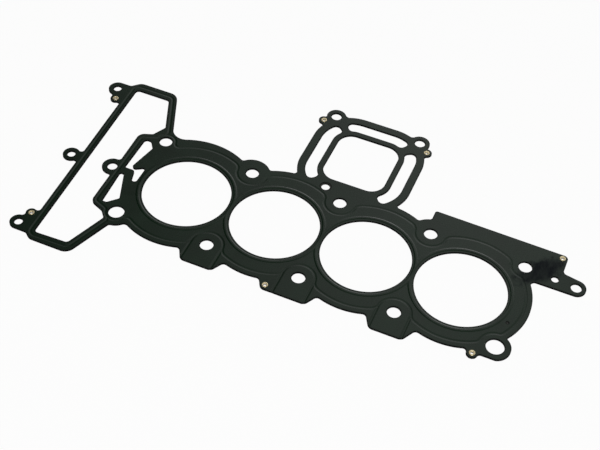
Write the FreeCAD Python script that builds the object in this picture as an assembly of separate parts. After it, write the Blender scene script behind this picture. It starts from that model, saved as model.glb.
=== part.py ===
import FreeCAD, Part
import math
import os

# Multi layer steel cylinder head gasket of an in-line four cylinder engine, with
# the chain case joint at its left end and the exhaust port flange behind it.
# Millimetres, Z up. X runs along the row of bores and Y from the front to the
# exhaust side. The origin lies under the middle head bolts, where the row's
# centre line crosses the line midway between the second and third bore, at the
# height of the lowest bead crowns, on which the gasket rests.

# Bores, and how far the joint face reaches from their axes
bore_d = 87.0
bore_pitch = 93.5
front_reach = (69.0, 68.0, 68.0, 66.0)
rear_reach = (71.8, 69.8, 69.8)
end_reach = 65.8
first_rear_lobe_shift = -3.8
strut_root_r = 14.0

# Head bolts in two rows beside the bores, with dowels round both front end bolts.
# The four end holes sit a little off the rows, by (along X, along Y).
bolt_row_y = 51.5
bolt_hole_d = 13.0
left_bolts_beside_bore = 49.3
right_bolts_beside_bore = 47.3
left_dowel_shift = (0.0, 0.6)
left_rear_bolt_shift = (-1.2, 2.4)
right_dowel_shift = (0.5, 2.0)
right_rear_bolt_shift = (0.0, -1.0)
left_dowel_hole_d = 15.5
right_dowel_hole_d = 17.0
left_dowel_pad_r = 16.4
right_dowel_ear_r = 14.4
rear_bump_r = 19.0
rear_bump_shift = (-1.1, -0.8)

# Sheets, and the beads pressed into the two outer ones
sheet_t = 0.25
centre_t = 1.0
bore_bead_h = 0.35
bore_bead_inside = 1.8
bore_bead_width = 4.0
bore_bead_flank = 1.3
rim_bead_h = 0.25
rim_bead_width = 3.9
rim_bead_flank = 1.5
rim_bead_inset = 6.0
rim_corner_r = 6.5
end_bead_r = 60.0
rear_bead_r = 62.5
bolt_loop_r = 15.5
right_dowel_loop_r = 14.5
right_rear_loop_r = 13.5
bolt_loop_blend = 9.0
left_dowel_bead_r = 10.6
left_rear_bead_r = 9.8
bead_blend = 5.0
bead_end_angle = 58.0

# How far the cutting and embossing tools reach past what they cut
tool_overhang = 3.0

# Blends in the outline's hollows
saddle_blend = 3.0
ear_blend = 4.5
lobe_blend = 1.5

# Front bosses below the three middle bolts
boss_depth = 25.6
boss_left_of_bolt = (19.3, 31.3, 19.3)
boss_right_of_bolt = 20.5
boss_side_h = 7.4
boss_side_lean = 0.55
boss_corner_r = 6.0
boss_root_r = 4.0

# Chain case frame, by its cavity's corners. The front ones are given from the left
# dowel hole and the rear ones from the left rear bolt hole, each as (x, y, radius),
# with a radius below 0 where the edge turns right.
cavity_front_corners = (
    (-57.4, -54.6, 4.0), (-22.4, -53.2, 4.0), (-7.2, -11.8, 2.5),
    (-14.0, -3.9, 4.0), (-28.7, 2.0, -8.0),
)
cavity_rear_corners = (
    (-29.4, -1.1, -8.0), (-16.6, 4.0, 4.0), (-9.8, 17.7, 2.5),
    (-25.7, 56.2, 4.0), (-63.1, 56.2, 4.0),
)
bar_width = 7.6
front_bar_width = 9.0
rear_bar_width = 10.7
front_strut_width = 9.2
rear_strut_width = 8.4
frame_corner_r = 11.0
frame_end_r = 9.0
front_end_slope = -0.8

# Ladder between the cavity and the first bore, with its slots' corners given in
# the same way, the upper slot's from the rear hole and the lower one's from the front
ladder_ear_shift = (-33.0, 0.8, 10.3)
ladder_ear_blend = 3.0
ladder_hole_d = 10.0
ladder_side_right_of_ear = 3.5
upper_slot_corners = (
    (-9.2, -49.1, -3.0), (-5.4, -62.7, 2.6), (-0.6, -62.7, 2.6),
    (-0.6, -40.8, 2.2), (-15.4, -50.3, -3.2), (-7.5, -14.5, 1.5),
    (-13.8, -5.7, 3.0), (-20.2, -5.7, 3.5), (-20.2, -49.1, 2.0),
)
lower_slot_corners = (
    (-14.6, 7.0, 2.0), (-5.7, 16.4, 1.8), (-17.7, 47.3, 1.6),
    (-21.8, 47.3, 1.6), (-19.5, 7.0, 1.6),
)
front_strip_bead = ((-14.4, 1.1), (-25.4, 5.1, -5.0))
rear_strip_bead = ((-24.3, -3.8, -6.0), (-15.8, -0.1))

# Ears outside the long bar, as (x, y, radius) from the left bolts: from the rear one,
# from midway between them and from the front one
ear_hole_d = 8.2
rear_chain_ear_shift = (-83.6, 51.6, 9.3)
middle_chain_ear_shift = (-77.9, -1.7, 8.5)
front_chain_ear_shift = (-77.0, -49.2, 8.4)

# Exhaust port, the three slots round it by their end angles, and the flange's ears
port_x = -1.0
port_width = 64.6
port_length = 67.4
port_behind_row = 26.3
port_corner_r = 15.0
port_strip = 6.1
port_slot_width = 11.9
port_slot_end_r = 5.0
port_slot_ends = ((228, 136), (119, 56), (33, -54))
flange_strip = 8.2
flange_ear_r = 10.1
flange_hole_d = 10.7
flange_ears_behind_port = 18.4
flange_ears_beside_port = (44.6, -47.5)
coolant_hole_shift = (-21.0, 14.5)
coolant_hole_d = 11.0
metering_hole_d = 8.5

# Plate and tab at the right rear corner, from the last two rear bolts
plate_left_of_bolt = 5.1
plate_right_of_bolt = 34.4
plate_behind_row = (30.4, 28.3)
plate_corner_r = 4.5
plate_step_r = 2.5
neck_behind_row = 6.3
tab_ear_shift = (50.0, -5.3)
tab_ear_r = 9.3
tab_hole_d = 10.4
tab_slope = -0.16
notch_blend = 4.0
breather_hole_shift = (29.3, -3.7)
breather_hole_d = 7.2
witness_hole_shift = (50.3, -19.5)
witness_hole_d = 2.6

# Eyelets that clinch the layers, each beside the place that its shift starts from
eyelet_barrel_d = 3.9
eyelet_wall = 0.35
eyelet_flange_d = 5.9
eyelet_flange_t = 0.35
lobe_r = 5.3
rear_chain_eyelet_shift = (5.4, -14.3)
front_chain_eyelet_shift = (5.1, 14.5)
front_boss_eyelet_shift = (6.7, 5.1)
left_flange_eyelet_shift = (-10.0, -10.3)
right_flange_eyelet_shift = (10.7, -10.1)
plate_eyelet_shift = (-5.0, -4.1)
front_right_eyelet_shift = (-16.8, -15.1)
front_right_edge_drop = 13.7

# Places that follow from the sizes above
bore_r = bore_d / 2
bore_count = len(front_reach)
bore_xs = [(k - (bore_count - 1) / 2) * bore_pitch for k in range(bore_count)]
first_bore_x = bore_xs[0]
last_bore_x = bore_xs[-1]
middle_bolt_xs = [(k - bore_count / 2) * bore_pitch for k in range(1, bore_count)]
left_bolt_x = first_bore_x - left_bolts_beside_bore
right_bolt_x = last_bore_x + right_bolts_beside_bore
lower_z = bore_bead_h
centre_z = lower_z + sheet_t + rim_bead_h
upper_z = centre_z + centre_t + rim_bead_h
top_z = upper_z + sheet_t + bore_bead_h


def shifted(place, shift):
    """The point at a shift from a place, with whatever follows its two coordinates."""
    return (place[0] + shift[0], place[1] + shift[1], *shift[2:])


left_dowel = shifted((left_bolt_x, -bolt_row_y), left_dowel_shift)
left_rear_bolt = shifted((left_bolt_x, bolt_row_y), left_rear_bolt_shift)
right_dowel = shifted((right_bolt_x, -bolt_row_y), right_dowel_shift)
right_rear_bolt = shifted((right_bolt_x, bolt_row_y), right_rear_bolt_shift)
ladder_ear = shifted((left_bolt_x, 0), ladder_ear_shift)
ladder_side = (ladder_ear[0] + ladder_side_right_of_ear, ladder_ear[1])
chain_ears = (
    shifted((left_bolt_x, bolt_row_y), rear_chain_ear_shift),
    shifted((left_bolt_x, 0), middle_chain_ear_shift),
    shifted((left_bolt_x, -bolt_row_y), front_chain_ear_shift),
)
cavity_corners = [shifted(left_dowel, corner) for corner in cavity_front_corners]
cavity_corners += [shifted(left_rear_bolt, corner) for corner in cavity_rear_corners]
boss_front_y = -bolt_row_y - boss_depth
port_front_y = bolt_row_y + port_behind_row
port_rear_y = port_front_y + port_length
flange_ears = [(port_x + beside_port, port_rear_y + flange_ears_behind_port)
               for beside_port in flange_ears_beside_port]
plate_left_x = middle_bolt_xs[-1] - plate_left_of_bolt
plate_right_x = right_bolt_x + plate_right_of_bolt
plate_rear_left_y, plate_rear_right_y = [bolt_row_y + y for y in plate_behind_row]
tab_ear = shifted((right_bolt_x, bolt_row_y), tab_ear_shift)
boss_corner = (middle_bolt_xs[1] - boss_left_of_bolt[1], boss_front_y)
plate_corner = (plate_right_x, plate_rear_right_y)
coolant_hole = shifted((0, bolt_row_y), coolant_hole_shift)
breather_hole = shifted((right_bolt_x, bolt_row_y), breather_hole_shift)
witness_hole = shifted((last_bore_x, 0), witness_hole_shift)
eyelet_places = {
    "rear_chain": shifted(chain_ears[0][:2], rear_chain_eyelet_shift),
    "front_chain": shifted(chain_ears[2][:2], front_chain_eyelet_shift),
    "front_boss": shifted(boss_corner, front_boss_eyelet_shift),
    "left_flange": shifted(flange_ears[1], left_flange_eyelet_shift),
    "right_flange": shifted(flange_ears[0], right_flange_eyelet_shift),
    "plate_corner": shifted(plate_corner, plate_eyelet_shift),
    "front_right": shifted(right_dowel, front_right_eyelet_shift),
}


# A run of an outline is a straight line or a circle with a way round it.

def line(x1, y1, x2, y2):
    return ("line", x1, y1, x2, y2)


def slope(x, y, dx, dy):
    return ("line", x, y, x + dx, y + dy)


def through(*points):
    """Straight runs from point to point, with the blend that a point gives between."""
    steps = []
    for here, there in zip(points, points[1:]):
        steps.append(line(*here[:2], *there[:2]))
        steps += there[2:]
    return steps


def arc(x, y, r, turn=1):
    return ("arc", x, y, r, turn)


def beside(run, shift):
    """The same run moved to its own left by shift."""
    if run[0] == "arc":
        return arc(run[1], run[2], run[3] - run[4] * shift, run[4])
    dx, dy = heading(run, None)
    x1, y1, x2, y2 = run[1:]
    return line(x1 - dy * shift, y1 + dx * shift, x2 - dy * shift, y2 + dx * shift)


def heading(run, point):
    """The unit direction of travel along a run at a point of it."""
    if run[0] == "line":
        dx = run[3] - run[1]
        dy = run[4] - run[2]
    else:
        dx = (run[2] - point[1]) * run[4]
        dy = (point[0] - run[1]) * run[4]
    size = math.hypot(dx, dy)
    return dx / size, dy / size


def foot(run, point):
    """The point of a run that is nearest to a given point."""
    px, py = point
    if run[0] == "line":
        dx, dy = heading(run, None)
        along = (px - run[1]) * dx + (py - run[2]) * dy
        return run[1] + along * dx, run[2] + along * dy
    dx = px - run[1]
    dy = py - run[2]
    size = math.hypot(dx, dy)
    return run[1] + run[3] * dx / size, run[2] + run[3] * dy / size


def meetings(a, b):
    """The points where two runs, drawn on without end, meet."""
    if a[0] == "arc" and b[0] == "line":
        return meetings(b, a)
    if a[0] == "line":
        dx, dy = heading(a, None)
        if b[0] == "line":
            ex, ey = heading(b, None)
            along = ((b[1] - a[1]) * ey - (b[2] - a[2]) * ex) / (dx * ey - dy * ex)
            return [(a[1] + along * dx, a[2] + along * dy)]
        fx, fy = foot(a, (b[1], b[2]))
        half = math.sqrt(b[3] ** 2 - (fx - b[1]) ** 2 - (fy - b[2]) ** 2)
        return [(fx + s * half * dx, fy + s * half * dy) for s in (-1, 1)]
    gap = math.hypot(b[1] - a[1], b[2] - a[2])
    ex = (b[1] - a[1]) / gap
    ey = (b[2] - a[2]) / gap
    along = (gap ** 2 + a[3] ** 2 - b[3] ** 2) / (2 * gap)
    half = math.sqrt(a[3] ** 2 - along ** 2)
    x = a[1] + along * ex
    y = a[2] + along * ey
    return [(x - s * half * ey, y + s * half * ex) for s in (-1, 1)]


def crossing(a, b, turn):
    """The meeting of two runs at which the way turns left (1) or right (-1)."""
    def sharpness(point):
        ax, ay = heading(a, point)
        bx, by = heading(b, point)
        return turn * (ax * by - ay * bx)
    return max(meetings(a, b), key=sharpness)


def corner(a, b, blend):
    """Centre, start and end of the arc that blends two runs.

    A positive blend is the radius of a corner that turns left, a negative one
    of a corner that turns right, and 0 is for runs that already touch.
    """
    if blend == 0:
        point = foot(a, b[1:3]) if a[0] == "line" else foot(b, a[1:3])
        return None, point, point
    turn = 1 if blend > 0 else -1
    centre = crossing(beside(a, blend), beside(b, blend), turn)
    return centre, foot(a, centre), foot(b, centre)


def stretches(steps):
    """Follow runs and the blends between them: run, blend, run, blend and so on.

    Each stretch is (centre, turn, start, end), with no centre where it is straight.
    A list that ends in a blend is closed. Otherwise it is open, and starts and
    ends at the points that its first and last members give.
    """
    closed = len(steps) % 2 == 0
    inner = steps if closed else steps[1:-1]
    runs = inner[0::2]
    blends = inner[1::2]
    count = len(blends)
    corners = [corner(runs[k], runs[(k + 1) % len(runs)], blends[k]) for k in range(count)]
    path = []
    for k, run in enumerate(runs):
        start = corners[k - 1][2] if closed or k else foot(run, steps[0])
        end = corners[k][1] if k < count else foot(run, steps[-1])
        path.append((run[1:3], run[4], start, end) if run[0] == "arc" else (None, 0, start, end))
        if k < count and corners[k][0]:
            centre, start, end = corners[k]
            path.append((centre, 1 if blends[k] > 0 else -1, start, end))
    return path


def sweep(centre, turn, start, end):
    """The angle in radians, above 0, through which a round stretch goes."""
    first = math.atan2(start[1] - centre[1], start[0] - centre[0])
    last = math.atan2(end[1] - centre[1], end[0] - centre[0])
    return ((last - first) * turn) % (2 * math.pi)


def stretch_edge(centre, turn, start, end):
    if centre is None:
        return Part.makeLine(FreeCAD.Vector(*start, 0), FreeCAD.Vector(*end, 0))
    half = sweep(centre, turn, start, end) / 2 * turn
    dx = start[0] - centre[0]
    dy = start[1] - centre[1]
    middle = (centre[0] + dx * math.cos(half) - dy * math.sin(half),
              centre[1] + dx * math.sin(half) + dy * math.cos(half))
    points = [FreeCAD.Vector(*point, 0) for point in (start, middle, end)]
    return Part.Arc(*points).toShape()


def closed_wire(steps):
    return Part.Wire([stretch_edge(*stretch) for stretch in stretches(steps)])


def prism(steps, z, height):
    wire = closed_wire(steps)
    wire.translate(FreeCAD.Vector(0, 0, z))
    return Part.Face(wire).extrude(FreeCAD.Vector(0, 0, height))


# Outline of every layer, counterclockwise in stretches

def front_edge():
    """From the left dowel hole along the front bosses to the right end."""
    steps = [arc(*left_dowel, left_dowel_pad_r), -ear_blend]
    side_y = boss_front_y + boss_side_h
    for k, bolt_x in enumerate(middle_bolt_xs):
        left_x = bolt_x - boss_left_of_bolt[k]
        right_x = bolt_x + boss_right_of_bolt
        steps += [
            arc(bore_xs[k], 0, front_reach[k]), -boss_root_r,
            slope(left_x, side_y, boss_side_lean, -1), boss_corner_r,
            line(left_x, boss_front_y, right_x, boss_front_y), boss_corner_r,
            slope(right_x, side_y, boss_side_lean, 1), -boss_root_r,
        ]
    return steps + [arc(last_bore_x, 0, front_reach[-1]), -saddle_blend]


def right_end_edge():
    """Round the front right eyelet and dowel hole and up beside the last bore."""
    edge_y = right_dowel[1] - front_right_edge_drop
    return [
        arc(*eyelet_places["front_right"], lobe_r), -saddle_blend,
        slope(0, edge_y, 1, 0), lobe_r,
        arc(*right_dowel, right_dowel_ear_r), -lobe_blend,
        arc(last_bore_x, 0, end_reach), -notch_blend,
    ]


def tab_and_plate():
    """Round the tab's ear, up the plate's right side and along its rear edge."""
    x, y = tab_ear
    return [
        beside(slope(x, y, 1, 0), -tab_ear_r), 0,
        arc(x, y, tab_ear_r), 0,
        beside(slope(x, y, -1, -tab_slope), -tab_ear_r), -notch_blend,
        slope(plate_right_x, 0, 0, 1), plate_corner_r,
        line(*plate_corner, plate_left_x, plate_rear_left_y), plate_step_r,
        slope(plate_left_x, 0, 0, -1), -saddle_blend,
        rear_bump(middle_bolt_xs[-1]), -saddle_blend,
        arc(bore_xs[-2], 0, rear_reach[-1]), -saddle_blend,
    ]


def rear_bump(bolt_x):
    return arc(*shifted((bolt_x, bolt_row_y), rear_bump_shift), rear_bump_r)


def flange_edge():
    """Round the exhaust flange from right to left."""
    right_x, left_x, front_y, rear_y = port_corner_centres()
    reach = port_corner_r + port_strip + port_slot_width + flange_strip
    right_ear, left_ear = flange_ears
    return [
        arc(right_x, front_y, reach), 0,
        slope(right_x + reach, 0, 0, 1), 0,
        arc(right_x, rear_y, reach), -saddle_blend,
        arc(*eyelet_places["right_flange"], lobe_r), -lobe_blend,
        arc(*right_ear, flange_ear_r), -ear_blend,
        arc(right_x, rear_y, reach), 0,
        slope(0, rear_y + reach, -1, 0), 0,
        arc(left_x, rear_y, reach), -ear_blend,
        arc(*left_ear, flange_ear_r), -lobe_blend,
        arc(*eyelet_places["left_flange"], lobe_r), -saddle_blend,
        arc(left_x, rear_y, reach), 0,
        slope(left_x - reach, 0, 0, -1), 0,
        arc(left_x, front_y, reach), -saddle_blend,
    ]


def port_corner_centres():
    half = port_width / 2 - port_corner_r
    return (port_x + half, port_x - half,
            port_front_y + port_corner_r, port_rear_y - port_corner_r)


def rear_edge():
    """Behind the first two bores to the chain frame's rear strut."""
    return [
        arc(bore_xs[1], 0, rear_reach[1]), -saddle_blend,
        rear_bump(middle_bolt_xs[0]), -saddle_blend,
        arc(first_bore_x + first_rear_lobe_shift, 0, rear_reach[0]), -strut_root_r,
        beside(rear_strut(), -rear_strut_width), frame_corner_r,
    ]


def cavity_side(k):
    """The chain cavity's side that starts at its corner k."""
    return line(*cavity_corners[k][:2], *cavity_corners[(k + 1) % 10][:2])


def front_bar():
    return cavity_side(0)


def front_strut():
    return cavity_side(1)


def rear_strut():
    return cavity_side(7)


def rear_bar():
    return cavity_side(8)


def long_bar():
    return cavity_side(9)


def chain_frame_edge():
    """Round the outside of the chain frame with its ears, from rear to front."""
    outer_bar = beside(long_bar(), -bar_width)
    rear_ear, middle_ear, front_ear = chain_ears
    rear_y = cavity_corners[9][1] + rear_bar_width
    front_y = cavity_corners[0][1] - front_bar_width
    return [
        slope(0, rear_y, -1, 0), frame_end_r,
        slope(cavity_corners[9][0], rear_y, -1, -1), -ear_blend,
        beside(slope(*rear_ear[:2], -1, 0), -rear_ear[2]), 0,
        arc(*rear_ear), -ear_blend,
        arc(*eyelet_places["rear_chain"], lobe_r), -saddle_blend,
        outer_bar, -saddle_blend,
        arc(*middle_ear), -saddle_blend,
        outer_bar, -saddle_blend,
        arc(*eyelet_places["front_chain"], lobe_r), -saddle_blend,
        arc(*front_ear), 0,
        beside(slope(*front_ear[:2], 1, 0), -front_ear[2]), -ear_blend,
        slope(cavity_corners[0][0], front_y, 1, front_end_slope), frame_end_r,
        slope(0, front_y, 1, 0), frame_corner_r,
        beside(front_strut(), -front_strut_width), -saddle_blend,
    ]


def outline():
    return (front_edge() + right_end_edge() + tab_and_plate() + flange_edge()
            + rear_edge() + chain_frame_edge())


# Openings

def chain_cavity():
    """The chain's opening, with the ladder's ear standing into its right side."""
    front = cavity_corners[:5]
    rear = cavity_corners[5:]
    return (through(rear[-1], *front, ladder_side)
            + [ladder_ear_blend, arc(*ladder_ear, -1), ladder_ear_blend]
            + through(ladder_side, *rear))


def ladder_slot(hole, corners):
    """A slot between the ladder's strip and the first bore, by its corners."""
    places = [shifted(hole, corner) for corner in corners]
    return through(*places, places[0])


def exhaust_port():
    right_x, left_x, front_y, rear_y = port_corner_centres()
    r = port_corner_r
    return [
        slope(0, front_y - r, 1, 0), r,
        slope(right_x + r, 0, 0, 1), r,
        slope(0, rear_y + r, -1, 0), r,
        slope(left_x - r, 0, 0, -1), r,
    ]


def port_slot(first, last, ends):
    """A slot at even distance from the port, between two of its corners' centres."""
    inner_r = port_corner_r + port_strip
    outer_r = inner_r + port_slot_width
    side = line(*first, *last)
    first_end, last_end = [math.radians(angle) for angle in ends]
    return [
        arc(*first, inner_r, -1), 0,
        beside(side, inner_r), 0,
        arc(*last, inner_r, -1), port_slot_end_r,
        slope(*last, math.cos(last_end), math.sin(last_end)), port_slot_end_r,
        arc(*last, outer_r), 0,
        beside(line(*last, *first), -outer_r), 0,
        arc(*first, outer_r), port_slot_end_r,
        slope(*first, -math.cos(first_end), -math.sin(first_end)), port_slot_end_r,
    ]


def port_slots():
    """The left, rear and right slot round the exhaust port."""
    right_x, left_x, front_y, rear_y = port_corner_centres()
    places = [(left_x, front_y), (left_x, rear_y), (right_x, rear_y), (right_x, front_y)]
    return [port_slot(places[k], places[k + 1], port_slot_ends[k]) for k in range(3)]


def round_holes():
    """Place and diameter of every round hole that all layers share."""
    holes = [(x, 0, bore_d) for x in bore_xs]
    for x in middle_bolt_xs:
        holes += [(x, bolt_row_y, bolt_hole_d), (x, -bolt_row_y, bolt_hole_d)]
    holes += [
        (*left_rear_bolt, bolt_hole_d),
        (*right_rear_bolt, bolt_hole_d),
        (*left_dowel, left_dowel_hole_d),
        (*right_dowel, right_dowel_hole_d),
        (*ladder_ear[:2], ladder_hole_d),
        (*tab_ear, tab_hole_d),
        (*breather_hole, breather_hole_d),
    ]
    holes += [(*ear[:2], ear_hole_d) for ear in chain_ears]
    holes += [(*ear, flange_hole_d) for ear in flange_ears]
    holes += [(*place, eyelet_barrel_d) for place in eyelet_places.values()]
    return holes


def openings():
    """Cutters for all openings that the layers share, taller than the gasket."""
    outlines = [
        chain_cavity(),
        ladder_slot(left_rear_bolt, upper_slot_corners),
        ladder_slot(left_dowel, lower_slot_corners),
        exhaust_port(),
    ]
    cutters = [tool(steps) for steps in outlines + port_slots()]
    return cutters + [hole(x, y, d) for x, y, d in round_holes()]


def tool(steps):
    """A punch of the given outline that goes through the whole gasket."""
    return prism(steps, -tool_overhang, top_z + 2 * tool_overhang)


def hole(x, y, d):
    low = FreeCAD.Vector(x, y, -tool_overhang)
    return Part.makeCylinder(d / 2, top_z + 2 * tool_overhang, low)


# Beads

def bore_bead(z):
    """The raised band round all the bores, joined into one between two bores."""
    inside_r = bore_r + bore_bead_inside
    outside_r = inside_r + bore_bead_width
    hills = [Part.makeCone(outside_r, outside_r - bore_bead_flank, bore_bead_h,
                           FreeCAD.Vector(x, 0, z)) for x in bore_xs]
    pits = [Part.makeCone(inside_r, inside_r + bore_bead_flank, bore_bead_h,
                          FreeCAD.Vector(x, 0, z)) for x in bore_xs]
    return hills[0].fuse(hills[1:]).cut(pits)


def bead_along(steps, z):
    """A low band with sloping sides along a path, narrowing from z downwards."""
    half = rim_bead_width / 2
    crown = half - rim_bead_flank
    corners = [(half, z), (crown, z - rim_bead_h), (-crown, z - rim_bead_h), (-half, z)]
    pieces = []
    for centre, turn, start, end in stretches(steps):
        dx, dy = heading(arc(*centre, 1, turn) if centre else line(*start, *end), start)
        points = [FreeCAD.Vector(start[0] - dy * w, start[1] + dx * w, h) for w, h in corners]
        section = Part.Face(Part.makePolygon(points + points[:1]))
        if centre:
            angle = math.degrees(sweep(centre, turn, start, end)) * turn
            axis = FreeCAD.Vector(0, 0, 1)
            pieces.append(section.revolve(FreeCAD.Vector(*centre, 0), axis, angle))
        else:
            run = FreeCAD.Vector(end[0] - start[0], end[1] - start[1], 0)
            pieces.append(section.extrude(run))
    return pieces[0].fuse(pieces[1:]).removeSplitter()


def chain_bead_path():
    """Round the chain cavity, between the ladder's slots and the cavity."""
    return [
        beside(front_bar(), -front_bar_width / 2), rim_corner_r,
        beside(front_strut(), -front_strut_width / 2), bead_blend,
        arc(*left_dowel, left_dowel_bead_r, -1), bead_blend,
        *through(*[shifted(left_dowel, place) for place in front_strip_bead],
                 *[shifted(left_rear_bolt, place) for place in rear_strip_bead]), bead_blend,
        arc(*left_rear_bolt, left_rear_bead_r, -1), bead_blend,
        beside(rear_strut(), -rear_strut_width / 2), rim_corner_r,
        beside(rear_bar(), -rear_bar_width / 2), rim_corner_r,
        beside(long_bar(), -bar_width / 2), rim_corner_r,
    ]


def coolant_bead_path():
    """Inside the outline round the bores, on the bores' side of the bolt holes."""
    end = math.radians(bead_end_angle)
    front_turn = (-left_dowel_bead_r * math.cos(end), -left_dowel_bead_r * math.sin(end))
    rear_turn = (-left_rear_bead_r * math.cos(end), left_rear_bead_r * math.sin(end))
    steps = [
        shifted(left_dowel, front_turn),
        arc(*left_dowel, left_dowel_bead_r), -bead_blend,
        arc(first_bore_x, 0, front_reach[0] - rim_bead_inset), bolt_loop_blend,
    ]
    for k, bolt_x in enumerate(middle_bolt_xs):
        steps += [
            arc(bolt_x, -bolt_row_y, bolt_loop_r, -1), bolt_loop_blend,
            arc(bore_xs[k + 1], 0, front_reach[k + 1] - rim_bead_inset), bolt_loop_blend,
        ]
    steps += [
        arc(*right_dowel, right_dowel_loop_r, -1), bead_blend,
        arc(last_bore_x, 0, end_bead_r), bead_blend,
        arc(*right_rear_bolt, right_rear_loop_r, -1), bolt_loop_blend,
    ]
    for k, bolt_x in reversed(list(enumerate(middle_bolt_xs))):
        steps += [
            arc(bore_xs[k + 1], 0, rear_bead_r), bolt_loop_blend,
            arc(bolt_x, bolt_row_y, bolt_loop_r, -1), bolt_loop_blend,
        ]
    return steps + [
        arc(first_bore_x, 0, rear_bead_r), -bead_blend,
        arc(*left_rear_bolt, left_rear_bead_r),
        shifted(left_rear_bolt, rear_turn),
    ]


def boss_bead_paths():
    """Down both sides of each front boss, from the loop round its bolt hole."""
    end_y = boss_front_y - tool_overhang
    sides = [x + side for x in middle_bolt_xs for side in (-bolt_loop_r, bolt_loop_r)]
    return [[(x, -bolt_row_y), slope(x, 0, 0, -1), (x, end_y)] for x in sides]


def rim_bead(z):
    """The bead network that seals the layers' rims, narrowing from z downwards."""
    paths = [coolant_bead_path()] + boss_bead_paths()
    return bead_along(chain_bead_path(), z).fuse([bead_along(path, z) for path in paths])


# Layers and eyelets

def beaded_sheet():
    """The upper sheet, embossed in a larger blank and cut to its outline."""
    box = closed_wire(outline()).BoundBox
    low = FreeCAD.Vector(box.XMin - tool_overhang, box.YMin - tool_overhang, upper_z)
    blank = Part.makeBox(box.XLength + 2 * tool_overhang, box.YLength + 2 * tool_overhang,
                         sheet_t, low)
    raised = blank.fuse(bore_bead(upper_z + sheet_t)).cut(bore_bead(upper_z))
    embossed = raised.fuse(rim_bead(upper_z)).cut(rim_bead(upper_z + sheet_t))
    return embossed.common(tool(outline()))


def eyelet(x, y):
    """A hollow rivet with a spread flange at each end."""
    barrel_r = eyelet_barrel_d / 2
    hole_r = barrel_r - eyelet_wall
    flange_r = eyelet_flange_d / 2
    low = lower_z
    high = upper_z + sheet_t
    profile = [
        (hole_r, low - eyelet_flange_t), (flange_r, low), (barrel_r, low),
        (barrel_r, high), (flange_r, high), (hole_r, high + eyelet_flange_t),
    ]
    points = [FreeCAD.Vector(r, 0, z) for r, z in profile]
    section = Part.Face(Part.makePolygon(points + points[:1]))
    solid = section.revolve(FreeCAD.Vector(0, 0, 0), FreeCAD.Vector(0, 0, 1), 360)
    solid.translate(FreeCAD.Vector(x, y, 0))
    return solid


def sub_parts():
    """Every piece by its name, with the holes that a layer has to itself."""
    shared = openings()
    sheet = beaded_sheet().cut(shared)
    middle = FreeCAD.Vector(0, 0, centre_z + centre_t / 2)
    coolant = hole(*coolant_hole, coolant_hole_d)
    metering = hole(*coolant_hole, metering_hole_d)
    witness = hole(*witness_hole, witness_hole_d)
    parts = {
        "upper_layer": sheet.cut([coolant, witness]),
        "centre_layer": prism(outline(), centre_z, centre_t).cut(shared + [metering]),
        "lower_layer": sheet.mirror(middle, FreeCAD.Vector(0, 0, 1)).cut(metering),
    }
    for name, place in eyelet_places.items():
        parts[name + "_eyelet"] = eyelet(*place)
    return parts


os.makedirs("parts", exist_ok=True)
for node, shape in sub_parts().items():
    shape.exportStep("parts/" + node + ".step")
    print(node, shape.isValid(), len(shape.Solids), round(shape.Volume, 1))
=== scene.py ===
import math

import bmesh
import bpy
import numpy as np
from mathutils import Matrix, Vector
from mathutils.geometry import delaunay_2d_cdt


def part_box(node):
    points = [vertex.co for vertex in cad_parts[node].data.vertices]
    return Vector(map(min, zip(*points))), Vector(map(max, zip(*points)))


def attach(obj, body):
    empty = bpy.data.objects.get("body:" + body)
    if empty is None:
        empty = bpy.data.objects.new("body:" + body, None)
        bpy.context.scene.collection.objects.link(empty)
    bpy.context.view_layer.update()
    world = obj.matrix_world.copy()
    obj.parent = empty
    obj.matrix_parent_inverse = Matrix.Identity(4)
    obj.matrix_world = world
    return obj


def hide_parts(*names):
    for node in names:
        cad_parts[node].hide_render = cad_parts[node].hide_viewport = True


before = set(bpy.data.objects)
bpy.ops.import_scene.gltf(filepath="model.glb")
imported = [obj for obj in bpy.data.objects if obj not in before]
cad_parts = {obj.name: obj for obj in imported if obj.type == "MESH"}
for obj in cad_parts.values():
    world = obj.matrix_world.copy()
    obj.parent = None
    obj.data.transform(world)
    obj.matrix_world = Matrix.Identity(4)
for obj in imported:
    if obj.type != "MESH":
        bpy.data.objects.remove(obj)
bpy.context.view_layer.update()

# The gasket is three thin steel sheets that hollow eyelets hold together. Lengths
# in the making of shapes are millimetres, and a place on a sheet is one complex
# number, x + iy. Blender's own units are metres.

MM = 0.001

# Beads, as the CAD has them, measured from the bore's edge or from the bead's middle
BORE_BEAD_INSIDE = 1.8
BORE_BEAD_WIDTH = 4.0
BORE_BEAD_FLANK = 1.3
BORE_BEAD_HEIGHT = 0.35
RIM_BEAD_CROWN = 0.45
RIM_BEAD_HALF = 1.95
SHEET = 0.25

# Corners of the CAD's loose triangles that are closer than this are one point, and
# heights that differ by less than this are one level
JOIN_DISTANCE = 0.004
LEVEL_DIFFERENCE = 0.01

# A line round a smaller area than this, in square millimetres, is a crack
CRACK_AREA = 0.5

# Length of the line round a bore, which no other hole has
BORE_RIM_SHORTEST = 250
BORE_RIM_LONGEST = 290

# Chords of one arc: how far their lengths may differ, as a share, and how far the
# way may turn between two of them, in radians
CHORD_MISMATCH = 0.02
LEAST_TURN = 0.004
LARGEST_TURN = 0.5

# How far a chord may stray from its arc, and how many parts one may be cut into
ARC_RISE = 0.008
MOST_PARTS = 8

# Points of the meshes: round a bore, along the line between two bores, and how far
# apart they are along a groove, along a flat rim and anywhere at least
BORE_SPOKES = 200
WEB_REACH = 17
WEB_POINTS = 69
GROOVE_STEP = 1.8
RIM_STEP = 4.0
LEAST_STEP = 0.24
FLAT_BESIDE_BEAD = 0.3

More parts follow.
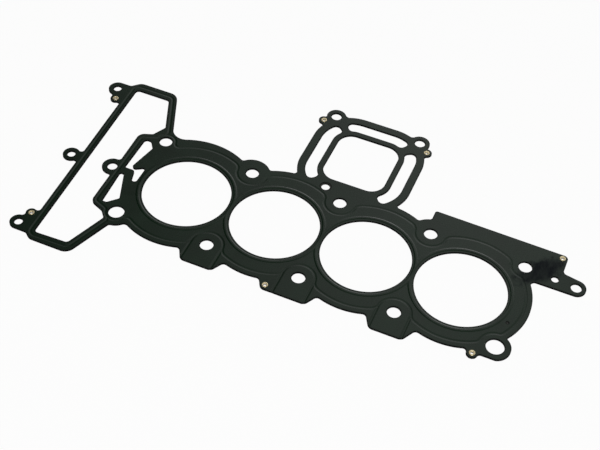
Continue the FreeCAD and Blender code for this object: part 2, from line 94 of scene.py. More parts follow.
# Points are compared with the rims in strips of about this many, and distances that
# differ by less than the rounding are the same
STRIP_POINTS = 300
ROUNDING = 1e-6

# Width of the painted shade, a darker line on the coat along every cut edge
EDGE_LINE = 1.0

# An edge that turns by more degrees than this is shaded as a sharp one
SHARP_ANGLE = 35

# Eyelets: radii of the hole, the barrel, the flange's crest and its rim, how far the
# crest and the rim stand over the sheet, and how many sides there are round the axis.
# The flange's section has this many points, from the mouth to an angle by the rim.
EYELET_HOLE = 1.6
EYELET_BARREL = 1.95
EYELET_CREST = 2.15
EYELET_RIM = 2.95
EYELET_CREST_HEIGHT = 0.35
EYELET_RIM_HEIGHT = 0.06
EYELET_SIDES = 48
EYELET_ROLL_POINTS = 13
EYELET_ROLL_END = 8

# The floor reaches this far each way, and lies this far under the gasket
FLOOR_REACH = 20000
FLOOR_DROP = 0.02

# Camera, from the photograph: it looks along +Y, from the right and from above. Its
# angles are in degrees. Pixels are counted from the middle of the first one.
CAMERA_AZIMUTH = 20.162
CAMERA_ELEVATION = 48.45
CAMERA_ROLL = 3.858
CAMERA_DISTANCE = 1115.8
CAMERA_TARGET = (-23.26, 8.08, 2.35)
FOCAL_PIXELS = 1169.9
IMAGE_WIDTH = 600
SENSOR_WIDTH = 36.0
HALF_PIXEL = 0.5


# Camera

def set_camera():
    """Look back along the direction of azimuth and elevation, turned by the roll."""
    azimuth, elevation, roll = np.radians([CAMERA_AZIMUTH, CAMERA_ELEVATION, CAMERA_ROLL])
    back = np.array([math.sin(azimuth) * math.cos(elevation),
                     -math.cos(azimuth) * math.cos(elevation), math.sin(elevation)])
    right = np.cross(-back, (0, 0, 1))
    right /= np.linalg.norm(right)
    down = np.cross(-back, right)
    turned_right = math.cos(roll) * right - math.sin(roll) * down
    turned_down = math.sin(roll) * right + math.cos(roll) * down
    place = (np.array(CAMERA_TARGET) + CAMERA_DISTANCE * back) * MM
    matrix = np.eye(4)
    matrix[:3, :4] = np.column_stack([turned_right, -turned_down, back, place])
    camera = bpy.data.objects.new("camera", bpy.data.cameras.new("camera"))
    camera.matrix_world = Matrix(matrix.tolist())
    camera.data.sensor_fit = "HORIZONTAL"
    camera.data.sensor_width = SENSOR_WIDTH
    camera.data.lens = SENSOR_WIDTH * FOCAL_PIXELS / IMAGE_WIDTH
    camera.data.shift_x = -HALF_PIXEL / IMAGE_WIDTH
    camera.data.shift_y = HALF_PIXEL / IMAGE_WIDTH
    camera.data.clip_start = 0.01
    bpy.context.scene.collection.objects.link(camera)
    bpy.context.scene.camera = camera


set_camera()


# Rims of the sheets, read from the CAD

def top_of(cad_node):
    """Points (xyz) and triangles of a CAD node's faces that point mostly up.

    The node's loose triangles are joined at their corners in a copy. A triangle's
    normal is the cross product of two of its sides, and points up where its Z is
    over half its length.
    """
    solid = bmesh.new()
    solid.from_mesh(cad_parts[cad_node].data)
    bmesh.ops.remove_doubles(solid, verts=solid.verts, dist=JOIN_DISTANCE * MM)
    mesh = bpy.data.meshes.new("joined")
    solid.to_mesh(mesh)
    solid.free()
    mesh.calc_loop_triangles()
    points = np.zeros(len(mesh.vertices) * 3, np.float32)
    mesh.vertices.foreach_get("co", points)
    points = points.reshape(-1, 3) / MM
    faces = np.zeros(len(mesh.loop_triangles) * 3, np.int32)
    mesh.loop_triangles.foreach_get("vertices", faces)
    faces = faces.reshape(-1, 3)
    bpy.data.meshes.remove(mesh)
    first, second, third = points[faces].swapaxes(0, 1)
    normal = np.cross(second - first, third - first)
    return points, faces[normal[:, 2] > 0.5 * np.linalg.norm(normal, axis=1)]


def open_edges(faces):
    """Edges, from start to end, that no neighbouring face has the other way round."""
    starts = faces.ravel().astype(np.int64)
    ends = np.roll(faces, -1, axis=1).ravel().astype(np.int64)
    count = faces.max() + 1
    alone = ~np.isin(starts * count + ends, ends * count + starts)
    return starts[alone], ends[alone]


def rims(points, faces):
    """Closed lines round a patch of triangles, with the patch on their left.

    From each point of the rim one open edge leads on, and following it comes back
    to the first point. The area inside is half the sum of x y' - x' y over the sides.
    """
    starts, ends = open_edges(faces)
    flat = points[:, 0] + 1j * points[:, 1]
    onward = dict(zip(starts.tolist(), ends.tolist()))
    loops = []
    while onward:
        numbers = [next(iter(onward))]
        while numbers[-1] in onward:
            numbers.append(onward.pop(numbers[-1]))
        loop = flat[numbers[:-1]]
        if abs((loop.conj() * np.roll(loop, -1)).imag.sum()) / 2 > CRACK_AREA:
            loops.append(loop)
    return loops


def parts_of_sides(parts):
    """Which side each new point is on, and at which share of it the point lies.

    Side k gets parts_k points, at the shares 0, 1 / parts_k, 2 / parts_k and so on.
    """
    which = np.repeat(np.arange(len(parts)), parts)
    number = np.arange(len(which)) - np.repeat(np.cumsum(parts) - parts, parts)
    return which, number / parts[which]


def rounded(loop):
    """The loop with its chords of arcs divided, so that no chord strays far.

    A point is on an arc where the chords before and after it are equally long; the
    way turns by an angle t there. The circle's radius is chord / (2 sin t/2), its
    centre lies beside the chord's middle by radius cos t/2, and new points divide
    the turn round that centre. Its rise, radius t squared / 8, sets their number.
    """
    chord = np.roll(loop, -1) - loop
    length = np.abs(chord)
    turn = np.angle(chord / np.roll(chord, 1))
    even = np.abs(np.roll(length, 1) / length - 1) < CHORD_MISMATCH
    on_arc = even & (np.abs(turn) > LEAST_TURN) & (np.abs(turn) < LARGEST_TURN)
    angle = np.where(on_arc, turn, np.where(np.roll(on_arc, -1), np.roll(turn, -1), 0))
    curved = angle != 0
    safe = np.where(curved, angle, 1)
    radius = length / (2 * np.sin(safe / 2))
    rise = np.abs(radius) * safe ** 2 / 8
    parts = np.clip(np.ceil(np.sqrt(rise / ARC_RISE)), 1, MOST_PARTS)
    which, share = parts_of_sides(np.where(curved, parts, 1).astype(int))
    centre = loop + chord / 2 + 1j * chord / length * radius * np.cos(safe / 2)
    on_circle = centre[which] + (loop - centre)[which] * np.exp(1j * share * safe[which])
    return np.where(curved[which], on_circle, loop[which])


def divided(loop, longest):
    """The loop with points put in so that no side is longer than given."""
    side = np.roll(loop, -1) - loop
    parts = np.maximum(1, np.ceil(np.abs(side) / longest).astype(int))
    which, share = parts_of_sides(parts)
    return loop[which] + share * side[which]


def sides_of(loops):
    """Start and direction of every side of the loops."""
    starts = np.concatenate(loops)
    return starts, np.concatenate([np.roll(loop, -1) - loop for loop in loops])


def distance_to(points, loops, reach):
    """Distance from each point to the nearest side of any loop, up to the reach.

    The nearest point of a side from a to b is at the share of it where the
    perpendicular falls, (p - a) . (b - a) / |b - a|^2, held between 0 and 1.
    The points are taken in strips across X, each with the sides within reach of it.
    """
    starts, sides = sides_of(loops)
    low = np.minimum(starts.real, (starts + sides).real) - reach
    high = np.maximum(starts.real, (starts + sides).real) + reach
    nearest = np.full(len(points), float(reach))
    for strip in np.array_split(np.argsort(points.real), len(points) // STRIP_POINTS + 1):
        x = points[strip].real
        near = (low < x.max()) & (high > x.min())
        apart = points[strip, None] - starts[near]
        share = np.clip((apart * sides[near].conj()).real / np.abs(sides[near]) ** 2, 0, 1)
        nearest[strip] = np.abs(apart - share * sides[near]).min(axis=1, initial=reach)
    return nearest


def inside(points, loops):
    """Whether each point is in the region that the loops bound.

    A ray to +X from a point inside crosses the loops an odd number of times. The
    points are taken in strips across Y, each with the sides that reach into it.
    """
    starts, sides = sides_of(loops)
    low = np.minimum(starts.imag, (starts + sides).imag)
    high = np.maximum(starts.imag, (starts + sides).imag)
    within = np.empty(len(points), bool)
    for strip in np.array_split(np.argsort(points.imag), len(points) // STRIP_POINTS + 1):
        y = points[strip, None].imag
        near = (low <= y.max()) & (high > y.min()) & (high > low)
        start = starts[near]
        crossed = (low[near] <= y) & (high[near] > y)
        meets = start.real + sides[near].real / sides[near].imag * (y - start.imag)
        crossed &= points[strip, None].real < meets
        within[strip] = crossed.sum(axis=1) % 2 == 1
    return within


def moved(loop, shift):
    """The loop's points moved to its left, each along the normal of the loop there."""
    along = np.roll(loop, -1) - np.roll(loop, 1)
    return loop + shift * 1j * along / np.abs(along)


def is_bore(loop):
    """Whether a rim goes round a bore, by its length, the sum of its sides."""
    around = np.abs(np.roll(loop, 1) - loop).sum()
    return BORE_RIM_SHORTEST < around < BORE_RIM_LONGEST


# The crown of the rim bead is the lowest part of the upper sheet's upper face
upper_points, upper_faces = top_of("upper_layer")
crown_z = upper_points[np.unique(upper_faces), 2].min()
is_crown = upper_points[upper_faces][:, :, 2].max(axis=1) < crown_z + LEVEL_DIFFERENCE
crown_rims = [rounded(loop) for loop in rims(upper_points, upper_faces[is_crown])]
crown_lines = [moved(loop, RIM_BEAD_CROWN) for loop in crown_rims]
upper_rims = [rounded(loop) for loop in rims(upper_points, upper_faces)]
bores = [loop.mean() for loop in upper_rims if is_bore(loop)]
bores = np.array(sorted(bores, key=lambda centre: centre.real))
bore_r = min(np.abs(np.concatenate(upper_rims) - bores[0]))

# Heights of both outer sheets' flat upper faces
upper_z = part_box("upper_layer")[1].z / MM - BORE_BEAD_HEIGHT
lower_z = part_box("lower_layer")[0].z / MM + BORE_BEAD_HEIGHT + SHEET
rim_bead_depth = upper_z - crown_z


# Relief of an embossed sheet

def smooth_step(share):
    """3 s^2 - 2 s^3 of the share held between 0 and 1."""
    share = np.clip(share, 0, 1)
    return share * share * (3 - 2 * share)


def bore_bead(points):
    """Height of the full bead round the bores, over the flat sheet.

    At radius r from a bore's axis it rises over one flank from its inside radius
    and falls over one flank to its outside radius. Between two bores the outer
    flanks give way to the crown, so the two beads run into one.
    """
    radii = np.abs(points[:, None] - bores)
    inner = bore_r + BORE_BEAD_INSIDE
    outer = inner + BORE_BEAD_WIDTH
    rising = smooth_step((radii - inner) / BORE_BEAD_FLANK).min(axis=1)
    falling = smooth_step((outer - radii) / BORE_BEAD_FLANK).max(axis=1)
    return BORE_BEAD_HEIGHT * np.minimum(rising, falling)


def rim_bead(points):
    """Depth of the groove that follows the sheet's rim, as a height below 0.

    It is half a cosine wave across: depth (1 + cos(pi d / half width)) / 2 at the
    distance d from its middle line.
    """
    across = distance_to(points, crown_lines, RIM_BEAD_HALF) / RIM_BEAD_HALF
    return -rim_bead_depth * (1 + np.cos(np.pi * across)) / 2


def relief(points):
    """Height of the embossed sheet over its flat parts: both kinds of bead added."""
    return bore_bead(points) + rim_bead(points)


def bead_points():
    """Rows of points that follow the beads, close together where they curve.

    Round a bore they are circles, as far as the line midway to the next bore, which
    is a row too. Along a groove they are its crown's rim moved by steps, each point
    along the normal of the rim there. A row of flat points just outside each foot
    keeps the flats' shading level.
    """
    flank = BORE_BEAD_FLANK * np.array([0, 0.1, 0.22, 0.36, 0.5, 0.64, 0.78, 0.9, 1])
    flats = np.array([-FLAT_BESIDE_BEAD, BORE_BEAD_WIDTH + FLAT_BESIDE_BEAD])
    radii = np.concatenate([flats, flank, BORE_BEAD_WIDTH - flank])
    radii = bore_r + BORE_BEAD_INSIDE + np.sort(radii)
    spokes = np.exp(2j * np.pi * np.arange(BORE_SPOKES) / BORE_SPOKES)
    rings = bores[:, None, None] + radii[:, None] * spokes
    to_bores = np.abs(rings[..., None] - bores)
    own = to_bores[np.arange(len(bores)), :, :, np.arange(len(bores))]
    rows = [rings[own <= to_bores.min(axis=-1) + ROUNDING]]
    between = (bores[1:] + bores[:-1]) / 2
    web = 1j * np.linspace(-WEB_REACH, WEB_REACH, WEB_POINTS)
    rows.append((between[:, None] + web).ravel())
    across = RIM_BEAD_HALF * np.array([-1.15, -1, -0.83, -0.66, -0.48, -0.26, 0])
    across = np.concatenate([across, -across[:-1]])
    for loop in crown_rims:
        line = divided(loop, GROOVE_STEP)
        rows += [moved(line, RIM_BEAD_CROWN + step) for step in across]
    return np.concatenate(rows)


def spread(points, least, loops):
    """The points, but only one from each square as wide as the least distance.

    Points in a square that a loop passes through are left out too. A square's number
    is its column plus a million times its row.
    """
    def squares(places):
        return np.round(places.real / least) + 1e6 * np.round(places.imag / least)

    points = points[np.unique(squares(points), return_index=True)[1]]
    passed = squares(np.concatenate([divided(loop, least / 2) for loop in loops]))
    return points[~np.isin(squares(points), passed)]


# Meshes

def mesh_object(name, vertices, triangles, materials, material_of=None):
    """A piece from arrays of vertices in millimetres and of triangles, shaded smooth."""
    mesh = bpy.data.meshes.new(name)
    mesh.vertices.add(len(vertices))
    mesh.vertices.foreach_set("co", (vertices * MM).astype(np.float32).ravel())
    mesh.loops.add(triangles.size)
    mesh.loops.foreach_set("vertex_index", triangles.astype(np.int32).ravel())
    mesh.polygons.add(len(triangles))
    mesh.polygons.foreach_set("loop_start", np.arange(0, triangles.size, 3, dtype=np.int32))
    mesh.polygons.foreach_set("use_smooth", np.ones(len(triangles), bool))
    if material_of is not None:
        mesh.polygons.foreach_set("material_index", material_of.astype(np.int32))
    mesh.update(calc_edges=True)
    mesh.validate()
    mesh.set_sharp_from_angle(angle=math.radians(SHARP_ANGLE))
    for material in materials:
        mesh.materials.append(material)
    piece = bpy.data.objects.new(name, mesh)
    bpy.context.scene.collection.objects.link(piece)
    return piece


def layer(name, cad_node, top_z, thickness, facing, materials):
    """A sheet over the region inside a CAD node's rims, at the height of its relief.

    Its top and underside are the same triangles, a thickness apart, and a wall of
    two triangles under each side of its rims closes it. Its bore beads point up
    where it faces 1, and down where it faces -1. A sheet that faces 0 is flat.
    """
    loops = [divided(rounded(loop), RIM_STEP) for loop in rims(*top_of(cad_node))]
    points = np.concatenate(loops)
    counts = np.array([len(loop) for loop in loops])
    first = np.repeat(np.cumsum(counts) - counts, counts)
    order = np.arange(len(points))
    ends = first + (order - first + 1) % np.repeat(counts, counts)
    if facing:
        beside = [moved(loop, EDGE_LINE) for loop in loops]
        inner = spread(np.concatenate([bead_points()] + beside), LEAST_STEP, loops)
        points = np.concatenate([points, inner])
    flat = [Vector((p.real, p.imag)) for p in points.tolist()]
    sides = list(zip(order.tolist(), ends.tolist()))
    over_the_hull, closeness = 0, 1e-4
    found = delaunay_2d_cdt(flat, sides, [], over_the_hull, closeness, False)
    places = np.array([tuple(v) for v in found[0]]) @ (1, 1j)
    tops = np.array(found[2])
    tops = tops[inside(places[tops].mean(axis=1), loops)]
    used, numbers = np.unique(tops, return_inverse=True)
    tops = numbers.reshape(-1, 3)
    places = places[used]
    rise = facing * relief(places) if facing else np.zeros(len(places))
    count = len(places)
    top = np.column_stack([places.real, places.imag, top_z + rise])
    vertices = np.concatenate([top, top - (0, 0, thickness)])
    starts, ends = open_edges(tops)
    walls = np.concatenate([
        np.column_stack([starts, starts + count, ends + count]),
        np.column_stack([starts, ends + count, ends]),
    ])
    triangles = np.concatenate([tops, tops[:, ::-1] + count, walls])
    material_of = np.repeat([0, 1], [2 * len(tops), len(walls)])
    piece = mesh_object(name, vertices, triangles, materials, material_of)
    # Share of the coat's painted shade along the cut edges: 1 at an edge, 0 from EDGE_LINE in
    painted_edge_shade = 1 - distance_to(places, loops, EDGE_LINE) / EDGE_LINE
    values = piece.data.attributes.new("painted_edge_shade", "FLOAT", "POINT").data
    values.foreach_set("value", np.tile(painted_edge_shade, 2).astype(np.float32))
    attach(piece, "root")
    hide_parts(cad_node)


def eyelet_section():
    """Section of a clinched eyelet: a thin tube whose two ends are rolled outwards.

    Each flange rises out of the tube's mouth as a quarter of an ellipse up to its crest,
    and falls as a quarter of a wider one to its rim: at the angle a the radius is
    crest + half width cos a and the height is rim's height + rise sin a. The lower
    half is the upper one mirrored.
    """
    roll = np.radians(np.linspace(180, EYELET_ROLL_END, EYELET_ROLL_POINTS))
    inner_width = EYELET_CREST - EYELET_HOLE
    outer_width = EYELET_RIM - EYELET_CREST
    radius = EYELET_CREST + np.where(roll > np.pi / 2, inner_width, outer_width) * np.cos(roll)
    rim_z = upper_z + EYELET_RIM_HEIGHT
    height = rim_z + (EYELET_CREST_HEIGHT - EYELET_RIM_HEIGHT) * np.sin(roll)
    flange = [(EYELET_RIM, rim_z), (EYELET_RIM, upper_z), (EYELET_BARREL, upper_z)]
    upper = np.concatenate([np.column_stack([radius, height]), flange])
    lower = (0, upper_z + lower_z - SHEET) + (1, -1) * upper[::-1]
    return np.concatenate([upper, lower])[::-1]


def turned(name, cad_node, profile, sides, material):
    """A closed ring: the profile's points (radius, height) carried round an axis.

    Point (i, j) is centre + radius_j (cos a_i, sin a_i) at height_j, and the profile
    runs round its section with the material on its left.
    """
    low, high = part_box(cad_node)
    centre = (low + high) / 2 / MM
    angles = 2 * np.pi * np.arange(sides) / sides
    radius, height = profile.T
    ring = np.stack([
        centre.x + np.cos(angles)[:, None] * radius,
        centre.y + np.sin(angles)[:, None] * radius,
        np.broadcast_to(height, (sides, len(radius))),
    ], axis=-1)
    across = len(profile)
    i, j = np.meshgrid(np.arange(sides), np.arange(across), indexing="ij")
    here = i * across + j
    beside = (i + 1) % sides * across + j
    onward = i * across + (j + 1) % across
    corner = (i + 1) % sides * across + (j + 1) % across
    triangles = np.concatenate([
        np.stack([here, beside, corner], axis=-1).reshape(-1, 3),
        np.stack([here, corner, onward], axis=-1).reshape(-1, 3),
    ])
    piece = mesh_object(name, ring.reshape(-1, 3), triangles, [material])
    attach(piece, "root")
    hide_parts(cad_node)


# Materials

def linear(colour):
    """An sRGB hex colour as linear red, green, blue and full alpha."""
    values = np.array([int(colour[k:k + 2], 16) for k in (1, 3, 5)]) / 255
    values = np.where(values <= 0.04045, values / 12.92, ((values + 0.055) / 1.055) ** 2.4)
    return (*values.tolist(), 1.0)


def node(tree, kind, settings=(), **inputs):
    """One node with its settings and with its inputs set, or linked to an output."""
    new = tree.nodes.new(kind)
    for name, value in dict(settings).items():
        setattr(new, name, value)
    for name, value in inputs.items():
        key = int(name[1:]) if name[1:].isdigit() else name.replace("_", " ")
        if isinstance(value, bpy.types.NodeSocket):
            tree.links.new(value, new.inputs[key])
        else:
            new.inputs[key].default_value = value
    return new


def new_material(name):
    """A material without nodes, and the tree that its nodes go into."""
    material = bpy.data.materials.new(name)
    material.use_nodes = True
    material.node_tree.nodes.clear()
    return material, material.node_tree


def millimetres(tree, stretch):
    """Object coordinates in millimetres, divided by the stretch along each axis."""
    place = node(tree, "ShaderNodeTexCoord").outputs["Object"]
    scale = [1 / MM / length for length in stretch]
    return node(tree, "ShaderNodeMapping", Vector=place, Scale=scale).outputs[0]


def graphite_mark(tree):
    """Share of a graphite handling mark with a ragged rim, beside the right rear bolt.

    It is 1 within an ellipse round the mark's middle and falls to 0 outside. Noise
    moves the rim in and out by a quarter of the ellipse's size, and streaks of a
    coarser noise were wiped a third clean.
    """
    place = node(tree, "ShaderNodeTexCoord").outputs["Object"]
    ellipse = node(tree, "ShaderNodeMapping", {"vector_type": "TEXTURE"}, Vector=place,
                   Location=(202 * MM, 51.5 * MM, 2 * MM), Rotation=(0, 0, math.radians(48)),
                   Scale=(35 * MM, 14.5 * MM, 40 * MM)).outputs[0]
    apart = node(tree, "ShaderNodeVectorMath", {"operation": "LENGTH"},
                 _0=ellipse).outputs["Value"]
    grain = node(tree, "ShaderNodeTexNoise", Vector=millimetres(tree, (9, 9, 9)),
                 Scale=1.0, Detail=5.0, Roughness=0.65).outputs[0]
    ragged = node(tree, "ShaderNodeMath", {"operation": "MULTIPLY_ADD"},
                  _0=grain, _1=1.3, _2=apart).outputs[0]
    mark = node(tree, "ShaderNodeMapRange", {"interpolation_type": "SMOOTHSTEP"},
                Value=ragged, From_Min=1.1, From_Max=1.7, To_Min=1.0, To_Max=0.0).outputs[0]
    streaks = node(tree, "ShaderNodeTexNoise", Vector=millimetres(tree, (7, 16, 9)),
                   Scale=1.0, Detail=3.0, Roughness=0.55).outputs[0]
    wiped = node(tree, "ShaderNodeMapRange", Value=streaks, From_Min=0.35, From_Max=0.62,
                 To_Min=0.65, To_Max=1.0).outputs[0]
    return node(tree, "ShaderNodeMath", {"operation": "MULTIPLY"}, _0=mark, _1=wiped).outputs[0]


def rubber_coated_steel():
    """Spring steel, roller coated with a thin layer of nitrile rubber.

    The coat is near black with a green cast and nearly matt. It varies in thickness
    over a few centimetres, is streaked along the way it was rolled, and has a fine
    grain that scatters what it mirrors. Along cut edges a darker, rougher line is
    painted shade, and rubbed graphite leaves a dark, bluish patch. Both of these
    mirror as a dark metal does, so less than rubber.
    """
    material, tree = new_material("rubber_coated_steel")
    clouds = node(tree, "ShaderNodeTexNoise", Vector=millimetres(tree, (34, 34, 34)),
                  Scale=1.0, Detail=4.0, Roughness=0.55).outputs[0]
    streaks = node(tree, "ShaderNodeTexNoise", Vector=millimetres(tree, (2.6, 70, 20)),
                   Scale=1.0, Detail=3.0, Roughness=0.6).outputs[0]
    uneven = node(tree, "ShaderNodeMath", {"operation": "MULTIPLY_ADD"},
                  _0=streaks, _1=0.45, _2=clouds).outputs[0]
    uneven = node(tree, "ShaderNodeMapRange", Value=uneven, From_Min=0.45,
                  From_Max=1.0).outputs[0]
    colour = node(tree, "ShaderNodeMix", {"data_type": "RGBA"}, Factor=uneven,
                  _6=linear("#06190b"), _7=linear("#0d2414")).outputs[2]
    graphite = graphite_mark(tree)
    colour = node(tree, "ShaderNodeMix", {"data_type": "RGBA"}, Factor=graphite,
                  _6=colour, _7=linear("#0c1216")).outputs[2]
    # Painted shade: along every cut edge the coat is darker and rougher and mirrors like a dark
    # metal
    painted_edge_shade = node(tree, "ShaderNodeAttribute", {"attribute_name": "painted_edge_shade"}).outputs["Fac"]
    colour = node(tree, "ShaderNodeMix", {"data_type": "RGBA"}, Factor=painted_edge_shade,
                  _6=colour, _7=linear("#141614")).outputs[2]
    satin = node(tree, "ShaderNodeMapRange", Value=clouds, To_Min=0.22, To_Max=0.31).outputs[0]
    dulled = node(tree, "ShaderNodeMath", {"operation": "MULTIPLY_ADD"},
                  _0=graphite, _1=0.1, _2=satin).outputs[0]
    rough = node(tree, "ShaderNodeMath", {"operation": "MULTIPLY_ADD"},
                 _0=painted_edge_shade, _1=0.3, _2=dulled).outputs[0]
    graphite_and_edge_shade_metal = node(tree, "ShaderNodeMath", {"operation": "MAXIMUM"},
                      _0=graphite, _1=painted_edge_shade).outputs[0]
    graphite_and_edge_shade_metal = node(tree, "ShaderNodeMapRange", Value=graphite_and_edge_shade_metal, To_Max=0.85).outputs[0]
    grain = node(tree, "ShaderNodeTexNoise", Vector=millimetres(tree, (0.6, 0.6, 0.6)),
                 Scale=1.0, Detail=2.0, Roughness=0.5).outputs[0]
    bump = node(tree, "ShaderNodeBump", Height=grain, Strength=0.12,
                Distance=0.05 * MM).outputs[0]
    shader = node(tree, "ShaderNodeBsdfPrincipled", Base_Color=colour,
                  Roughness=rough, Metallic=graphite_and_edge_shade_metal, Normal=bump, IOR=1.5)
    node(tree, "ShaderNodeOutputMaterial", Surface=shader.outputs[0])
    return material


def sheared_edge_and_gap_shade():
    """The sheet's cut edge: dark steel between two thin lines of rubber.

    Its near-black tone is partly painted shade, for the shadowed gaps between the
    sheets.
    """
    material, tree = new_material("sheared_edge_and_gap_shade")
    marks = node(tree, "ShaderNodeTexNoise", Vector=millimetres(tree, (0.8, 0.8, 0.3)),
                 Scale=1.0, Detail=3.0).outputs[0]
    colour = node(tree, "ShaderNodeValToRGB", Fac=marks)
    # Near black: partly the dark steel, partly painted shade of the gaps between the sheets
    colour.color_ramp.elements[0].color = linear("#040404")
    colour.color_ramp.elements[1].color = linear("#0d0d0c")
    shader = node(tree, "ShaderNodeBsdfPrincipled", Base_Color=colour.outputs[0],
                  Roughness=0.8, Specular_IOR_Level=0.03)
    node(tree, "ShaderNodeOutputMaterial", Surface=shader.outputs[0])
    return material


def cold_rolled_steel():
    """Flat, uncoated carrier sheet, dulled by oil, with rolling lines along X."""
    material, tree = new_material("cold_rolled_steel")
    lines = node(tree, "ShaderNodeTexNoise", Vector=millimetres(tree, (60, 0.9, 20)),
                 Scale=1.0, Detail=3.0).outputs[0]
    colour = node(tree, "ShaderNodeValToRGB", Fac=lines)
    colour.color_ramp.elements[0].color = linear("#2c2d2b")
    colour.color_ramp.elements[1].color = linear("#4a4b47")
    roughness = node(tree, "ShaderNodeMapRange", Value=lines, From_Min=0.3, From_Max=0.7,
                     To_Min=0.38, To_Max=0.52).outputs[0]
    shader = node(tree, "ShaderNodeBsdfPrincipled", Base_Color=colour.outputs[0],
                  Roughness=roughness, Metallic=0.6)
    node(tree, "ShaderNodeOutputMaterial", Surface=shader.outputs[0])
    return material


def pressed_brass():
    """Drawn and clinched brass, pale and a little tarnished.

    Its bore, below the flange, is painted dark brown as shade inside the hole.
    """
    material, tree = new_material("pressed_brass")
    tarnish = node(tree, "ShaderNodeTexNoise", Vector=millimetres(tree, (1.6, 1.6, 1.6)),
                   Scale=1.0, Detail=3.0, Roughness=0.55).outputs[0]
    colour = node(tree, "ShaderNodeMix", {"data_type": "RGBA"}, Factor=tarnish,
                  _6=linear("#e2cf98"), _7=linear("#fff3cf")).outputs[2]
    # Painted shade: below the flange the bore is darkened to dark brown, by height
    place = node(tree, "ShaderNodeTexCoord").outputs["Object"]
    height = node(tree, "ShaderNodeSeparateXYZ", Vector=place).outputs["Z"]
    depth = node(tree, "ShaderNodeMapRange", Value=height, From_Min=(upper_z - 0.6) * MM,
                 From_Max=(upper_z - 1.1) * MM).outputs[0]
    colour = node(tree, "ShaderNodeMix", {"data_type": "RGBA"}, Factor=depth,
                  _6=colour, _7=linear("#2c2013")).outputs[2]
    rough = node(tree, "ShaderNodeMapRange", Value=tarnish, To_Min=0.2, To_Max=0.36).outputs[0]
    shader = node(tree, "ShaderNodeBsdfPrincipled", Base_Color=colour, Roughness=rough,
                  Metallic=0.8)
    node(tree, "ShaderNodeOutputMaterial", Surface=shader.outputs[0])
    return material


def painted_floor():
    """A smooth white board. Seen directly or mirrored, most of it is white by itself."""
    material, tree = new_material("painted_floor")
    path = node(tree, "ShaderNodeLightPath").outputs
    seen = path["Is Camera Ray"]
    for way in ("Is Glossy Ray", "Is Transmission Ray"):
        seen = node(tree, "ShaderNodeMath", {"operation": "MAXIMUM"},
                    _0=seen, _1=path[way]).outputs[0]
    board = node(tree, "ShaderNodeBsdfDiffuse", Color=linear("#f2f2f0"), Roughness=0.5)
    light = node(tree, "ShaderNodeEmission", Color=(1, 1, 1, 1), Strength=1.0)
    share = node(tree, "ShaderNodeMapRange", Value=seen, To_Max=0.94).outputs[0]
    mixed = node(tree, "ShaderNodeMixShader", _0=share, _1=board.outputs[0],
                 _2=light.outputs[0])
    node(tree, "ShaderNodeOutputMaterial", Surface=mixed.outputs[0])
    return material


# The pieces

coat = rubber_coated_steel()
cut_edge_and_gap_shade = sheared_edge_and_gap_shade()
carrier = cold_rolled_steel()
brass = pressed_brass()

layer("upper_sheet", "upper_layer", upper_z, SHEET, 1, [coat, cut_edge_and_gap_shade])
centre_low, centre_high = [corner.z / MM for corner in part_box("centre_layer")]
layer("centre_sheet", "centre_layer", centre_high, centre_high - centre_low, 0,
      [carrier, cut_edge_and_gap_shade])
layer("lower_sheet", "lower_layer", lower_z, SHEET, -1, [coat, cut_edge_and_gap_shade])
for eyelet in [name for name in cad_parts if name.endswith("_eyelet")]:
    turned(eyelet.replace("_eyelet", "_clinched_eyelet"), eyelet, eyelet_section(),
           EYELET_SIDES, brass)


# Floor and light

def floor():
    """A white board under the gasket, wide enough to fill every view."""
    corners = np.array([[-1, -1, 0], [1, -1, 0], [1, 1, 0], [-1, 1, 0]]) * FLOOR_REACH
    corners = corners - (0, 0, FLOOR_DROP)
    board = mesh_object("floor", corners, np.array([[0, 1, 2], [0, 2, 3]]), [painted_floor()])


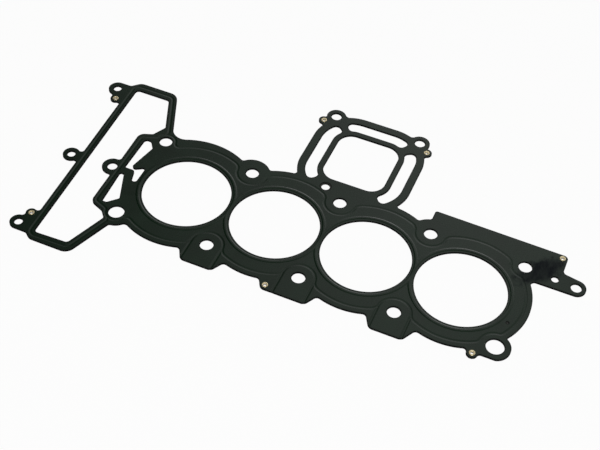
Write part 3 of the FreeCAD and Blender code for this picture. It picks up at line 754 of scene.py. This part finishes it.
def area_lamp(name, place, size, power):
    """A rectangular lamp at a place in millimetres, turned towards the gasket's origin."""
    lamp = bpy.data.lights.new(name, "AREA")
    lamp.shape = "RECTANGLE"
    lamp.size, lamp.size_y = (length * MM for length in size)
    lamp.energy = power
    stand = bpy.data.objects.new(name, lamp)
    stand.location = Vector(place) * MM
    stand.rotation_euler = (-Vector(place)).to_track_quat("-Z", "Y").to_euler()
    bpy.context.scene.collection.objects.link(stand)


def surroundings():
    """A studio with a dim ceiling, whose white wall behind the object is the brightest.

    The level falls off with the height above the horizon, the Z of the direction
    that is looked in, to both sides of the wall's middle, its X, and towards the
    front, its Y.
    """
    world = bpy.data.worlds.new("studio")
    bpy.context.scene.world = world
    world.use_nodes = True
    tree = world.node_tree
    tree.nodes.clear()
    direction = node(tree, "ShaderNodeTexCoord").outputs["Generated"]
    parts = node(tree, "ShaderNodeSeparateXYZ", Vector=direction).outputs
    fall = node(tree, "ShaderNodeValToRGB", Fac=parts["Z"])
    for element, (position, level) in zip(fall.color_ramp.elements, ((0.16, 1.0), (1.0, 0.03))):
        element.position = position
        element.color = (level, level, level, 1)
    for position, level in ((0.3, 0.58), (0.45, 0.385), (0.74, 0.32), (0.93, 0.26)):
        fall.color_ramp.elements.new(position).color = (level, level, level, 1)
    side = node(tree, "ShaderNodeMapRange", Value=parts["X"], From_Min=-0.44, From_Max=-0.12,
                To_Min=0.1, To_Max=2.2).outputs[0]
    behind = node(tree, "ShaderNodeMapRange", Value=parts["Y"], From_Min=-0.3, From_Max=0.4,
                  To_Min=0.5, To_Max=1.0).outputs[0]
    past = node(tree, "ShaderNodeMapRange", Value=parts["X"], From_Min=-0.06, From_Max=0.04,
                To_Min=1.0, To_Max=0.52).outputs[0]
    level = node(tree, "ShaderNodeMath", {"operation": "MULTIPLY"}, _0=side, _1=behind).outputs[0]
    level = node(tree, "ShaderNodeMath", {"operation": "MULTIPLY"}, _0=level, _1=past).outputs[0]
    room = node(tree, "ShaderNodeBackground", Color=fall.outputs[0], Strength=level)
    node(tree, "ShaderNodeOutputWorld", Surface=room.outputs[0])


floor()
surroundings()
area_lamp("window_behind", place=(0, 2300, 950), size=(4000, 1500), power=6)
area_lamp("soft_in_front", place=(600, -1250, 1700), size=(1200, 1200), power=24)
bpy.context.scene.view_settings.view_transform = "Standard"
